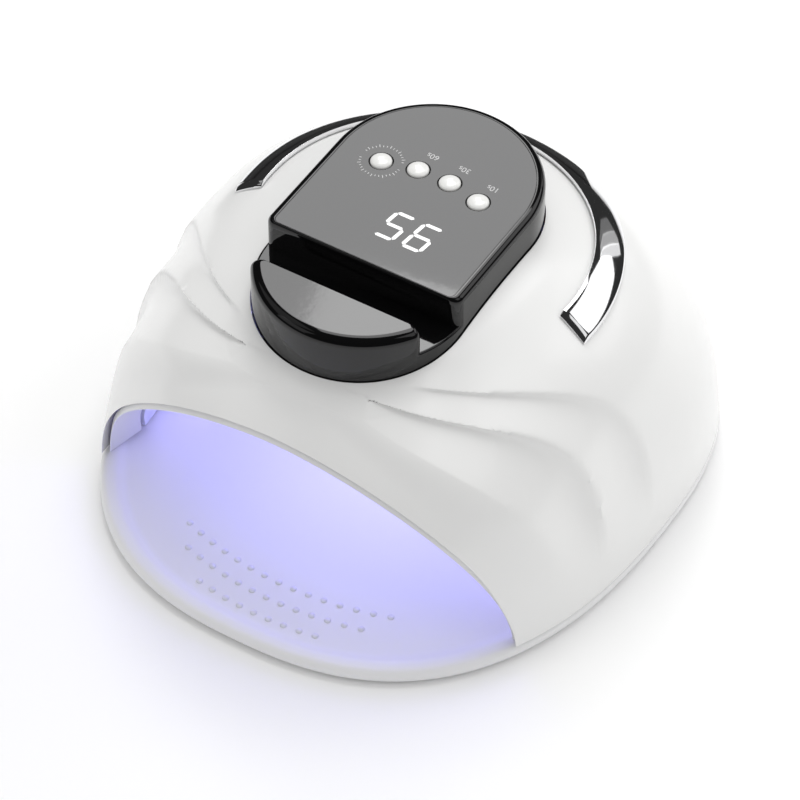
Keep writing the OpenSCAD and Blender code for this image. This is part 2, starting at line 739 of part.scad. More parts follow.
base_plate();
base_feet();
base_magnets();
grip_dots();
upper_shell();
arch_frame();
reflector();
chassis_ring();
chassis_screws();
lamp_magnets();
led_board_roof();
led_board_left_upper();
led_board_right_upper();
led_board_left_lower();
led_board_right_lower();
led_board_rear();
led_beads();
motion_sensor();
module_housing();
display_glass();
digit_display();
control_board();
board_parts();
board_screws();
tact_switches();
button_1();
button_2();
button_3();
button_4();
chrome_band();
band_nuts();
dc_socket();
wiring_harness();
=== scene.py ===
"""Looks for the UV curing lamp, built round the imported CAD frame.

The hand opening faces -Y, the display's user sits at +Y, and everything is in metres.
"""

import json
import math

import bmesh
import bpy
from mathutils import Matrix, Vector

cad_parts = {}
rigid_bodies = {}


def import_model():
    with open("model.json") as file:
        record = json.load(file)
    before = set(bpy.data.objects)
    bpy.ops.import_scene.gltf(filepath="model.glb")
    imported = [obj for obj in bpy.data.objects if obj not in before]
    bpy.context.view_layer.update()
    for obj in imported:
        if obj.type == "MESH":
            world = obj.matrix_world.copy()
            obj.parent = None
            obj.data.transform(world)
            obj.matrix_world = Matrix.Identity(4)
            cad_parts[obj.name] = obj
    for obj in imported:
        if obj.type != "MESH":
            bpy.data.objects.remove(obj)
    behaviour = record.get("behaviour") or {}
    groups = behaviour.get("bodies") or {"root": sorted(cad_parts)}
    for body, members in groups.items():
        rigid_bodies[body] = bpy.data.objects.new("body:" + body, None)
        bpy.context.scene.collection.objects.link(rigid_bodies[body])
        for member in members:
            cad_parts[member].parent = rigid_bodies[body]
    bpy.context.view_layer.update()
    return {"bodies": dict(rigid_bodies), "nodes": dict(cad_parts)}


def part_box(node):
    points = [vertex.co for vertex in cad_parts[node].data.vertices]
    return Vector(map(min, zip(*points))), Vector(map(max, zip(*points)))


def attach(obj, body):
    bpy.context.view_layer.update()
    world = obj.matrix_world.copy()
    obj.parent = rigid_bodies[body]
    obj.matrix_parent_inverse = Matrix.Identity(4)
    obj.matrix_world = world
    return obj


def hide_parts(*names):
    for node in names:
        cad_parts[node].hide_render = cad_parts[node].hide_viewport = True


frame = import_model()
NODES = frame["nodes"]
BODIES = frame["bodies"]

MM = 0.001

# ---- driving dimensions, from the frame where it has them ----------------------------------

PLATE_LO, PLATE_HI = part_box("base_plate")
GLASS_LO, GLASS_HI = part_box("display_glass")
HOUSING_LO, HOUSING_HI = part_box("module_housing")

PLAN_Y = 18 * MM
HALF_W = PLATE_HI.x
REACH_FRONT = PLAN_Y - PLATE_LO.y
REACH_REAR = PLATE_HI.y - PLAN_Y
FOOT_POWER = 2.5
TOP_POWER = 2.0
BLEND_H = 95 * MM
DOME_H = 106 * MM
DOME_POWER = 2.65
DOME_LEAN = 0.045
WALL = 2.5 * MM
SHELL_Z = PLATE_HI.z + 0.3 * MM
WAVE_DEPTH = 3 * MM

ARCH_W = 87 * MM
ARCH_H = 80 * MM
ARCH_POWER = 2.0

MODULE_W = HOUSING_HI.x
REAR_ARC_Y = 20 * MM
FRONT_ARC_Y = -25 * MM
SLOT_BACK_Y = -28 * MM
SLOT_FRONT_Y = -42 * MM
SLOT_FLOOR = 104.6 * MM
REST_TOP = 115 * MM
MODULE_TOP = GLASS_HI.z
HOLLOW_TOP = 114.5 * MM
BUTTON_BOXES = [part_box(f"button_{i}") for i in (1, 2, 3, 4)]
BUTTON_PLACES = [((lo.x + hi.x) / 2, (lo.y + hi.y) / 2) for lo, hi in BUTTON_BOXES]
BUTTON_HOLE_R = 4.35 * MM
HOLE_GAP = 0.4 * MM

# ---- mesh helpers --------------------------------------------------------------------------


def link(obj, body, slot_name, *replaced):
    """Puts a finished piece in the scene and on its body, and hides the CAD nodes it replaces."""
    if obj.name not in bpy.context.scene.collection.objects:
        bpy.context.scene.collection.objects.link(obj)
    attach(obj, body)
    if replaced:
        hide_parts(*replaced)
    return obj


def mesh_object(name, points, faces, sharp=40):
    """A smooth-shaded mesh object whose edges stay sharp above the given angle."""
    mesh = bpy.data.meshes.new(name)
    mesh.from_pydata([tuple(p) for p in points], [], faces)
    bm = bmesh.new()
    bm.from_mesh(mesh)
    bmesh.ops.recalc_face_normals(bm, faces=bm.faces)
    bm.to_mesh(mesh)
    bm.free()
    mesh.shade_smooth()
    mesh.set_sharp_from_angle(angle=math.radians(sharp))
    return bpy.data.objects.new(name, mesh)


def loft(rings, closed_ends=True):
    """Points and faces of a skin over rings that all have the same number of points."""
    n = len(rings[0])
    points = [p for ring in rings for p in ring]
    faces = []
    for i in range(len(rings) - 1):
        for j in range(n):
            k = (j + 1) % n
            faces.append((i * n + j, i * n + k, (i + 1) * n + k, (i + 1) * n + j))
    if closed_ends:
        faces.append(tuple(range(n)))
        faces.append(tuple(range(len(points) - n, len(points))))
    return points, faces


def add_loft(points, faces, rings):
    """Adds one more closed skin to the points and faces of a piece."""
    new_points, new_faces = loft(rings)
    faces += [tuple(v + len(points) for v in face) for face in new_faces]
    points += new_points


def soften(obj, width, segments=3):
    """Rounds the sharp edges of a piece, and fixes the result in its mesh."""
    bevel = obj.modifiers.new("round", "BEVEL")
    bevel.width = width
    bevel.segments = segments
    bevel.limit_method = "ANGLE"
    bevel.angle_limit = math.radians(35)
    return apply_modifiers(obj)


def apply_modifiers(obj):
    """Fixes an object's modifiers in its mesh."""
    graph = bpy.context.evaluated_depsgraph_get()
    if obj.name not in bpy.context.scene.collection.objects:
        bpy.context.scene.collection.objects.link(obj)
    bpy.context.view_layer.update()
    graph.update()
    mesh = bpy.data.meshes.new_from_object(obj.evaluated_get(graph))
    obj.modifiers.clear()
    old = obj.data
    obj.data = mesh
    bpy.data.meshes.remove(old)
    mesh.shade_smooth()
    mesh.set_sharp_from_angle(angle=math.radians(40))
    return obj


def carve(obj, other, operation):
    """Joins another closed mesh to a piece, or cuts it away, and drops the other."""
    scene = bpy.context.scene.collection.objects
    for o in (obj, other):
        if o.name not in scene:
            scene.link(o)
    boolean = obj.modifiers.new("carve", "BOOLEAN")
    boolean.operation = operation
    boolean.solver = "EXACT"
    boolean.object = other
    apply_modifiers(obj)
    bpy.data.objects.remove(other)
    return obj


# ---- materials -----------------------------------------------------------------------------


def material(name, color, roughness, **sockets):
    """A principled material with named socket values set on the shader itself."""
    mat = bpy.data.materials.new(name)
    mat.use_nodes = True
    shader = mat.node_tree.nodes["Principled BSDF"]
    shader.inputs["Base Color"].default_value = (*color, 1)
    shader.inputs["Roughness"].default_value = roughness
    for key, value in sockets.items():
        shader.inputs[key.replace("_", " ")].default_value = value
    return mat


def node_of(mat, kind, **values):
    """A new node in a material's tree, with its input sockets set by name."""
    node = mat.node_tree.nodes.new(kind)
    for key, value in values.items():
        node.inputs[key.replace("_", " ")].default_value = value
    return node


def texture_noise(mat, scale, detail=4.0, roughness=0.5):
    """Noise over the piece's own coordinates, in cells per metre."""
    where = mat.node_tree.nodes.new("ShaderNodeTexCoord")
    noise = node_of(mat, "ShaderNodeTexNoise", Scale=scale, Detail=detail, Roughness=roughness)
    mat.node_tree.links.new(where.outputs["Object"], noise.inputs["Vector"])
    return noise.outputs["Fac"]


def add_bump(mat, height, distance):
    """Fine relief from a height output."""
    bump = node_of(mat, "ShaderNodeBump", Strength=1.0, Distance=distance)
    mat.node_tree.links.new(height, bump.inputs["Height"])
    shader = mat.node_tree.nodes["Principled BSDF"]
    mat.node_tree.links.new(bump.outputs["Normal"], shader.inputs["Normal"])


def vary(mat, fac, socket, low, high):
    """Spreads a grey texture over a range and feeds it to one input of the shader."""
    ramp = node_of(mat, "ShaderNodeMapRange")
    ramp.inputs["From Min"].default_value = 0.3
    ramp.inputs["From Max"].default_value = 0.7
    ramp.inputs["To Min"].default_value = low
    ramp.inputs["To Max"].default_value = high
    mat.node_tree.links.new(fac, ramp.inputs["Value"])
    shader = mat.node_tree.nodes["Principled BSDF"]
    mat.node_tree.links.new(ramp.outputs["Result"], shader.inputs[socket])


def tint(mat, fac, first, second):
    """Mixes two close colours over the piece by a grey texture."""
    mix = mat.node_tree.nodes.new("ShaderNodeMix")
    mix.data_type = "RGBA"
    colors = [s for s in mix.inputs if s.type == "RGBA"]
    colors[0].default_value = (*first, 1)
    colors[1].default_value = (*second, 1)
    mat.node_tree.links.new(fac, mix.inputs[0])
    out = [s for s in mix.outputs if s.type == "RGBA"][0]
    shader = mat.node_tree.nodes["Principled BSDF"]
    mat.node_tree.links.new(out, shader.inputs["Base Color"])


def moulded(name, light, dark, rough, relief=0.00001, grain=500, **sockets):
    """Moulded plastic: faint colour drift, uneven gloss and a fine orange peel."""
    mat = material(name, light, rough, **sockets)
    tint(mat, texture_noise(mat, 18), light, dark)
    vary(mat, texture_noise(mat, 40, 2.0), "Roughness", rough * 0.92, rough * 1.1)
    add_bump(mat, texture_noise(mat, grain, 1.0), relief)
    return mat


SHELL_WHITE = moulded("shell_white", (0.87, 0.87, 0.862), (0.855, 0.855, 0.847), 0.24,
                      relief=0.000002, grain=250, Coat_Weight=0.3, Coat_Roughness=0.12)
FRAME_WHITE = moulded("frame_white", (0.84, 0.84, 0.85), (0.81, 0.81, 0.82), 0.3)
BASE_WHITE = moulded("base_white", (0.87, 0.87, 0.875), (0.85, 0.85, 0.855), 0.38, relief=0.00001,
                     grain=1400)
# the reflector's bluish tint here is painted violet light from the LEDs, not a colour of its own
REFLECTOR_PAINTED_VIOLET_LIGHT = moulded("reflector_white", (0.80, 0.81, 0.95), (0.76, 0.77, 0.93), 0.35)
RING_WHITE = moulded("ring_white", (0.80, 0.80, 0.80), (0.77, 0.77, 0.77), 0.5)
BUTTON_WHITE = moulded("button_white", (0.86, 0.86, 0.84), (0.84, 0.84, 0.82), 0.16,
                       Coat_Weight=0.5, Coat_Roughness=0.06)
DOT_SILICONE = moulded("dot_silicone", (0.82, 0.82, 0.88), (0.78, 0.78, 0.85), 0.3)
MODULE_BLACK = moulded("module_black", (0.004, 0.004, 0.0045), (0.003, 0.003, 0.003), 0.05,
                       relief=0.000004, grain=500)
SMOKED_GLASS = moulded("smoked_glass", (0.012, 0.012, 0.013), (0.010, 0.010, 0.011), 0.03,
                       relief=0.000002, grain=300)
PRINT_WHITE = moulded("print_white", (0.62, 0.62, 0.62), (0.58, 0.58, 0.58), 0.5)
CHROME = moulded("band_chrome", (0.86, 0.86, 0.87), (0.84, 0.84, 0.85), 0.06,
                 relief=0.000004, grain=300, Metallic=1.0)
STEEL = moulded("screw_steel", (0.55, 0.55, 0.57), (0.48, 0.48, 0.50), 0.32, Metallic=1.0)
MAGNET = moulded("magnet_metal", (0.60, 0.61, 0.63), (0.52, 0.53, 0.55), 0.3, Metallic=1.0)
BOARD_ALU = moulded("led_board", (0.72, 0.73, 0.74), (0.66, 0.67, 0.68), 0.35, Metallic=0.6)
FOOT_RUBBER = moulded("foot_rubber", (0.05, 0.05, 0.052), (0.035, 0.035, 0.037), 0.75,
                      relief=0.00008)
SENSOR_BLACK = moulded("sensor_black", (0.015, 0.01, 0.02), (0.01, 0.008, 0.015), 0.12)
INLET_BLACK = moulded("inlet_black", (0.02, 0.02, 0.022), (0.014, 0.014, 0.015), 0.42)
PCB_GREEN = moulded("pcb_green", (0.02, 0.16, 0.06), (0.015, 0.12, 0.045), 0.3)
CHIP_BLACK = moulded("component_black", (0.03, 0.03, 0.032), (0.02, 0.02, 0.022), 0.5)
DISPLAY_FACE = moulded("display_face", (0.55, 0.55, 0.55), (0.5, 0.5, 0.5), 0.5)
WIRE_RED = moulded("wire_red", (0.35, 0.02, 0.02), (0.28, 0.015, 0.015), 0.4)
LED_LENS = moulded("led_lens", (0.85, 0.83, 0.95), (0.8, 0.78, 0.95), 0.12)
DIGIT_LIT = moulded("digit_lit", (0.85, 0.86, 0.86), (0.8, 0.8, 0.8), 0.4)


def glow(mat, color, strength):
    """Makes a material give off light evenly."""
    shader = mat.node_tree.nodes["Principled BSDF"]
    shader.inputs["Emission Color"].default_value = (*color, 1)
    shader.inputs["Emission Strength"].default_value = strength


GLOW_VIOLET = (0.4, 0.4, 1.0)
glow(LED_LENS, (0.55, 0.5, 1.0), 3.0)
# painted violet light: the reflector is no lamp, but glows faintly as if lit by the LEDs
glow(REFLECTOR_PAINTED_VIOLET_LIGHT, GLOW_VIOLET, 0.06)
glow(DIGIT_LIT, (1.0, 1.0, 1.0), 0.28)

NODE_LOOKS = {
    "base_feet": FOOT_RUBBER, "base_magnets": MAGNET, "lamp_magnets": MAGNET,
    "chassis_ring": RING_WHITE, "chassis_screws": STEEL, "led_board_roof": BOARD_ALU,
    "led_board_left_upper": BOARD_ALU, "led_board_right_upper": BOARD_ALU,
    "led_board_left_lower": BOARD_ALU, "led_board_right_lower": BOARD_ALU,
    "led_board_rear": BOARD_ALU, "led_beads": LED_LENS, "motion_sensor": SENSOR_BLACK,
    "digit_display": DISPLAY_FACE, "control_board": PCB_GREEN, "board_parts": CHIP_BLACK,
    "board_screws": STEEL, "tact_switches": CHIP_BLACK, "button_1": BUTTON_WHITE,
    "button_2": BUTTON_WHITE, "button_3": BUTTON_WHITE, "button_4": BUTTON_WHITE,
    "band_nuts": STEEL, "dc_socket": INLET_BLACK, "wiring_harness": WIRE_RED,
}
for name, look in NODE_LOOKS.items():
    NODES[name].data.materials.clear()
    NODES[name].data.materials.append(look)

# ---- the dome's form -----------------------------------------------------------------------


def signed_power(v, p):
    """Power of a number's size, with its sign kept."""
    return math.copysign(abs(v) ** p, v)


def ease(v):
    """Smooth step from 0 to 1."""
    c = min(max(v, 0.0), 1.0)
    return c * c * (3 - 2 * c)


def plan_power(z):
    """Squareness of the outline at height z."""
    return FOOT_POWER - (FOOT_POWER - TOP_POWER) * min(max(z, 0) / BLEND_H, 1)


def plan_reach(a, n, inset=0.0):
    """Distance from the middle of the plan to the outline in direction a."""
    depth = (REACH_FRONT if math.sin(a) < 0 else REACH_REAR) - inset
    along = (abs(math.cos(a)) / (HALF_W - inset)) ** n + (abs(math.sin(a)) / depth) ** n
    return along ** (-1 / n)


def module_side(x, y, grown):
    """Below 0 inside the module's outline grown by that much."""
    w = MODULE_W + grown
    if y > REAR_ARC_Y:
        return math.hypot(x, y - REAR_ARC_Y) - w
    if y > FRONT_ARC_Y:
        return abs(x) - w
    return math.hypot(x, y - FRONT_ARC_Y) - w


def module_reach(a, grown):
    """Distance from the middle of the plan to the module's outline in direction a."""
    lo, hi = 20 * MM, 110 * MM
    for _ in range(24):
        mid = (lo + hi) / 2
        if module_side(mid * math.cos(a), PLAN_Y + mid * math.sin(a), grown) > 0:
            hi = mid
        else:
            lo = mid
    return lo


def hole_rise(a, inset):
    """Angle of the profile, in degrees, at which the dome meets the module's hole."""
    s = module_reach(a, HOLE_GAP) / plan_reach(a, TOP_POWER, inset)
    return math.degrees(math.acos(s ** (DOME_POWER / 2)))


def rise_at(z, inset):
    """Angle of the profile, in degrees, at height z of the upright dome."""
    return math.degrees(math.asin((z / (DOME_H - inset)) ** (DOME_POWER / 2)))


# each ridge: its direction at the foot, how far it turns, where it meets the crown, its bend
RIDGES = [(9, 57, 58, 5), (24, 41, 52.5, 4.5), (34, 31, 46, 2.4)]


def ridge(k, t):
    """Direction of a ridge, in degrees in front of the dome's side, at angle t of the profile."""
    side, turn, crest, bend = RIDGES[k]
    return -side - turn * min(t / crest, 1.1) ** bend


def scallop(q):
    """Depth of a groove at share q of the way from its upper ridge to its lower one."""
    if q <= 0 or q >= 1:
        return 0.0
    soft = 0.12
    skewed = ((q + soft) ** 0.6 - soft**0.6) / ((1 + soft) ** 0.6 - soft**0.6)
    return math.sin(math.pi * skewed)


def wave(a, t, end):
    """How far the grooves and the arch's face pull the dome in, at a and t in degrees."""
    d = 90 - abs(((a + 810) % 360) - 180)
    fade = WAVE_DEPTH * ease((t - 4) / 16) * ease((end - t) / 8) * ease((2 - d) / 12)
    if fade == 0:
        return 0.0, 0.0
    r0, r1, r2 = (ridge(k, t) for k in range(3))
    grooves = 0.8 * scallop((r0 - d) / (r0 - r1)) + scallop((r1 - d) / (r1 - r2))
    return fade * grooves, fade * ease((r2 - d) / 14)


def lean(z, v):
    """How much lower the dome is than its upright form, at z and distance v behind the middle."""
    return DOME_LEAN * v * (z / DOME_H) ** 2


def dome_point(a, t, inset, end):
    """Point of the dome in direction a (degrees) at angle t (degrees) of its profile."""
    ar, tr = math.radians(a), math.radians(t)
    z = (DOME_H - inset) * math.sin(tr) ** (2 / DOME_POWER)
    s = math.cos(tr) ** (2 / DOME_POWER)
    r = s * plan_reach(ar, plan_power(z), inset)
    groove, face = wave(a, t, end)
    return (
        (r - groove) * math.cos(ar),
        PLAN_Y + (r - groove - face) * math.sin(ar),
        z - lean(z, r * math.sin(ar)),
    )


def dome_z(x, y):
    """Height of the dome over a point of the plan, above its shoulder."""
    depth = REACH_FRONT if y < PLAN_Y else REACH_REAR
    n = TOP_POWER
    q = ((abs(x) / HALF_W) ** n + (abs(y - PLAN_Y) / depth) ** n) ** (1 / n)
    z = DOME_H * (1 - q**DOME_POWER) ** (1 / DOME_POWER)
    return z - lean(z, y - PLAN_Y)


# ---- white pieces --------------------------------------------------------------------------

ARCH_COLUMNS = 190
ROUND_COLUMNS = 200
OUTER_ROWS = 110
INNER_ROWS = 26


def arch_point(q, w, h):
    """Point of an arch of half width w and height h at angle q, in the XZ plane."""
    return (
        w * signed_power(math.cos(q), 2 / ARCH_POWER),
        h * max(math.sin(q), 0.0) ** (2 / ARCH_POWER),
    )


def arch_foot(h):
    """Angle at which an arch of height h meets the foot of the shell."""
    return math.asin((SHELL_Z / h) ** (ARCH_POWER / 2))


def dome_front(x, z, inset):
    """Depth of the upright dome's front at x and height z."""
    s = (1 - (z / (DOME_H - inset)) ** DOME_POWER) ** (1 / DOME_POWER)
    n = plan_power(z)
    rest = 1 - (abs(x) / ((HALF_W - inset) * s)) ** n
    return PLAN_Y - (REACH_FRONT - inset) * s * rest ** (1 / n)


def arch_edge(x, top, inset):
    """Depth of the dome's front at height top, and the height it has before the lean."""
    z = top
    for _ in range(8):
        z = top + lean(z, dome_front(x, z, inset) - PLAN_Y)
    return dome_front(x, z, inset), z


def shell_columns(inset):
    """Direction and starting angle of each column of the shell, clockwise from the arch."""
    foot = arch_foot(ARCH_H)
    front = []
    for k in range(ARCH_COLUMNS + 1):
        x, top = arch_point(foot + (math.pi - 2 * foot) * k / ARCH_COLUMNS, ARCH_W, ARCH_H)
        y, z = arch_edge(x, top, inset)
        front.append((math.degrees(math.atan2(y - PLAN_Y, x)), rise_at(z, inset)))
    left = front[-1][0]
    turn = 360 - (front[0][0] - left)
    start = rise_at(SHELL_Z, inset)
    return front + [(left - turn * k / ROUND_COLUMNS, start) for k in range(1, ROUND_COLUMNS)]


def make_shell():
    """The dome as one closed wall, open at the arch and at the module."""
    columns = []
    for (a0, t0), (a1, t1) in zip(shell_columns(0), shell_columns(WALL)):
        end0 = hole_rise(math.radians(a0), 0)
        end1 = hole_rise(math.radians(a1), WALL)
        outer = [dome_point(a0, t0 + (end0 - t0) * i / OUTER_ROWS, 0, end0)
                 for i in range(OUTER_ROWS + 1)]
        inner = [dome_point(a1, t1 + (end1 - t1) * i / INNER_ROWS, WALL, end1)
                 for i in range(INNER_ROWS, -1, -1)]
        columns.append(outer + inner)
    points, faces = loft(columns + columns[:1], closed_ends=False)
    n = len(columns[0])
    total = n * len(columns)
    faces = [tuple(v % total for v in f) for f in faces]
    shell = mesh_object("upper_shell_skin", points[:total], faces)
    soften(shell, 0.9 * MM, segments=4)
    shell.data.materials.append(SHELL_WHITE)
    return link(shell, "lamp", "shell_white", "upper_shell")


LIP_BACK_Y, LIP_LEAN = -49 * MM, 23.5 * MM
LIP_W, LIP_H = 81 * MM, 73 * MM


def make_arch_frame():
    """The funnel that lines the arched opening."""
    gap, wall = 0.5 * MM, 1.8 * MM
    rails = [(ARCH_W - gap - wall, ARCH_H - gap - wall, True), (ARCH_W - gap, ARCH_H - gap, True),
             (LIP_W + wall, LIP_H + wall, False), (LIP_W, LIP_H, False)]
    sections = []
    steps = 160
    for k in range(steps + 1):
        section = []
        for w, h, in_front in rails:
            foot = arch_foot(h)
            x, z = arch_point(foot + (math.pi - 2 * foot) * k / steps, w, h)
            z = max(z, SHELL_Z)
            if in_front:
                y = arch_edge(x, z, WALL)[0] + 0.3 * MM
            else:
                y = LIP_BACK_Y - LIP_LEAN * (z - SHELL_Z) / ARCH_H
            section.append((x, y, z))
        sections.append(section)
    points, faces = loft(sections)
    lining = soften(mesh_object("arch_lining", points, faces), 0.5 * MM)
    lining.data.materials.append(FRAME_WHITE)
    return link(lining, "lamp", "frame_white", "arch_frame")


REFLECT_POWER = 1.75
REFLECT_W, REFLECT_H = 83 * MM, 76 * MM
REFLECT_FRONT, REFLECT_REAR = 190 * MM, 70 * MM
REFLECT_FOOT = 7.2 * MM
REFLECT_START, REFLECT_LEAN = -47 * MM, 19 * MM
REFLECT_WALL = 2 * MM


def reflect_scale(y, n, grow):
    """Share of the reflector's full section that is left at depth y."""
    depth = REFLECT_FRONT if y < PLAN_Y else REFLECT_REAR + grow
    return max(1 - (abs(y - PLAN_Y) / depth) ** n, 0.0) ** (1 / n)


def arched_sections(grow, sections=60, across=90):
    """Arches of the reflector from its front edge to its rear wall."""
    end_y = PLAN_Y + REFLECT_REAR - 2 * MM + grow
    rings = []
    for u in range(sections + 1):
        f = u / sections
        ring = []
        for k in range(across + 1):
            q = math.pi * k / across
            lift = max(math.sin(q), 0.0) ** (2 / REFLECT_POWER)
            y = (REFLECT_START + (end_y - REFLECT_START) * (1 - (1 - f) ** 1.5)
                 - REFLECT_LEAN * (1 - f) * lift)
            w = (REFLECT_W + grow) * reflect_scale(y, 2.5, grow)
            h = (REFLECT_H + grow) * reflect_scale(y, DOME_POWER, grow)
            ring.append((w * signed_power(math.cos(q), 2 / REFLECT_POWER), y,
                         REFLECT_FOOT + (h - REFLECT_FOOT) * lift))
        rings.append(ring)
    return rings


def make_reflector():
    """The inner dome, one wall with its holes for the LEDs cut through."""
    outer, inner = arched_sections(REFLECT_WALL), arched_sections(0)
    rows = [o + list(reversed(i)) for o, i in zip(outer, inner)]
    points, faces = loft(rows, closed_ends=False)
    n = len(rows[0])
    half = n // 2
    last = (len(rows) - 1) * n
    # the front edge of the wall, then the two faces and the foot of the rear wall
    faces += [(j, j + 1, n - 2 - j, n - 1 - j) for j in range(half - 1)]
    faces.append(tuple(last + j for j in range(half)))
    faces.append(tuple(last + half + j for j in range(half)))
    faces.append((last, last + half - 1, last + half, last + n - 1))
    dish = mesh_object("reflector_dish", points, faces)
    for x, y, z, tilt_x, tilt_y in led_places():
        cutter = tube_cutter(4.6 * MM, 24 * MM)
        cutter.data.transform(Matrix.Translation((x, y, z)) @ Matrix.Rotation(tilt_y, 4, "Y")
                              @ Matrix.Rotation(tilt_x, 4, "X"))
        carve(dish, cutter, "DIFFERENCE")
    dish.data.materials.append(REFLECTOR_PAINTED_VIOLET_LIGHT)
    return link(dish, "lamp", "reflector_white", "reflector")


# tilt from the vertical in degrees, and distance of the board from the axis in mm
STRIPS = [(0, 80), (42, 80.5), (-42, 80.5), (74, 85.5), (-74, 85.5)]
LED_Y = [-40, -17, 6, 29]


def led_places():
    """Place and tilt of each bead's middle: x, y, z, turn about X, turn about Y."""
    places = []
    for tilt, radius in STRIPS:
        a = math.radians(tilt)
        r = (radius - 4) * MM
        for y in LED_Y:
            places.append((r * math.sin(a), y * MM, r * math.cos(a), 0.0, a))
    for x in (-13, 13):
        places.append((x * MM, 87 * MM, 24 * MM, math.pi / 2, 0.0))
    return places


def tube_cutter(radius, length, segments=40):
    """A plain upright tube to cut holes with."""
    ring = [(radius * math.cos(2 * math.pi * i / segments),
             radius * math.sin(2 * math.pi * i / segments)) for i in range(segments)]
    points, faces = loft([[(x, y, z) for x, y in ring] for z in (-length / 2, length / 2)])
    return mesh_object("cutter", points, faces)


DISH_DEPTH = 1.5 * MM
# count of dots and depth of each row, its pitch and its radius, in mm
DOT_ROWS = [(15, -83.4), (13, -91.5), (9, -99.7)]
DOT_PITCH, DOT_ROW_R = 6, 130


def make_base_plate():
    """The loose plate: rounded edge, flat rim and dished floor."""
    top, low = PLATE_HI.z, PLATE_LO.z
    floor = top - DISH_DEPTH
    profile = [(3.0, low), (1.9, low + 0.15 * MM), (0.9, low + 0.7 * MM), (0.25, low + 1.5 * MM),
               (0.0, low + 2.4 * MM), (0.12, top - 2.0 * MM), (0.5, top - 1.1 * MM),
               (1.1, top - 0.45 * MM), (1.9, top - 0.1 * MM), (2.8, top), (4.2, top),
               (5.2, top - 0.08 * MM), (6.4, top - 0.45 * MM), (7.6, floor + 0.5 * MM),
               (8.8, floor + 0.12 * MM), (10.0, floor), (14.0, floor), (30.0, floor)]
    n = 260
    rings = []
    for inset, z in profile:
        ring = []
        for i in range(n):
            a = 2 * math.pi * i / n
            r = plan_reach(a, plan_power(z), inset * MM)
            ring.append((r * math.cos(a), PLAN_Y + r * math.sin(a), z))
        rings.append(ring)
    points, faces = loft(rings)
    plate = mesh_object("base_plate_dish", points, faces)
    plate.data.materials.append(BASE_WHITE)
    return link(plate, "base", "base_white", "base_plate")


def make_grip_dots():
    """Three curved rows of small silicone domes."""
    floor = PLATE_HI.z - DISH_DEPTH
    profile = [(1.25, -0.1), (1.22, 0.2), (1.08, 0.45), (0.82, 0.64), (0.45, 0.76), (0.12, 0.8)]
    points, faces = [], []
    for count, row_y in DOT_ROWS:
        for i in range(count):
            x = (i - (count - 1) / 2) * DOT_PITCH
            y = row_y + DOT_ROW_R - math.sqrt(DOT_ROW_R**2 - x * x)
            rings = [[((x + r * math.cos(2 * math.pi * k / 20)) * MM,
                       (y + r * math.sin(2 * math.pi * k / 20)) * MM, floor + z * MM)
                      for k in range(20)] for r, z in profile]
            add_loft(points, faces, rings)
    dots = mesh_object("grip_dot_rows", points, faces)
    dots.data.materials.append(DOT_SILICONE)
    return link(dots, "base", "dot_silicone", "grip_dots")


# ---- control module ------------------------------------------------------------------------


def arc(cx, cy, radius, start, end, steps):
    """Points of a round arc about a centre, from start to end in degrees."""
    out = []
    for i in range(steps + 1):
        a = math.radians(start + (end - start) * i / steps)
        out.append((cx + radius * math.cos(a), cy + radius * math.sin(a)))
    return out


def skirt_outline(g):
    """Whole plan of the module, pulled in by g."""
    w = MODULE_W - g
    return (arc(0, REAR_ARC_Y, w, 0, 180, 60)
            + arc(0, FRONT_ARC_Y, w, 180, 360, 80))


def block_outline(g, corner=4 * MM, near=None):
    """Plan of the block behind the slot, pulled in by g, and by near at its front edge."""
    w = MODULE_W - g
    y = SLOT_BACK_Y + (0.35 * g if near is None else near)
    c = max(corner - 0.6 * g, 0.8 * MM)
    return (arc(0, REAR_ARC_Y, w, 0, 180, 60)
            + arc(-w + c, y + c, c, 180, 270, 12)
            + arc(w - c, y + c, c, 270, 360, 12))


def rest_outline(g, corner=2.4 * MM):
    """Half-moon plan of the phone rest, pulled in by g, and hardly at its straight edge."""
    w = MODULE_W - g + 0.02 * MM
    y = SLOT_FRONT_Y - 0.18 * g
    c = max(corner - 0.3 * g, 0.8 * MM)
    sag = FRONT_ARC_Y - y + c
    half = math.sqrt((w - c) ** 2 - sag**2)
    reach = math.degrees(math.atan2(sag, half))
    return (arc(0, FRONT_ARC_Y, w, 180 + reach, 360 - reach, 80)
            + arc(half, y - c, c, -reach, 90, 12)
            + arc(-half, y - c, c, 90, 180 + reach, 12))


def rounded_rings(outline, low, top, radius, steps=8):
    """Rings of a slab whose top edge is rounded, from its foot to its top face."""
    rings = [[(x, y, low) for x, y in outline(0.0)]]
    for i in range(steps + 1):
        a = math.pi / 2 * i / steps
        g = radius * (1 - math.cos(a))
        z = top - radius + radius * math.sin(a)
        rings.append([(x, y, z) for x, y in outline(g)])
    # a flat ring inside the edge keeps the top's shading level
    rings.append([(x, y, top) for x, y in outline(radius + 0.25 * MM)])
    return rings


def upright(outline, low, high):
    """A straight-sided slab's two rings."""
    return [[(x, y, z) for x, y in outline] for z in (low, high)]


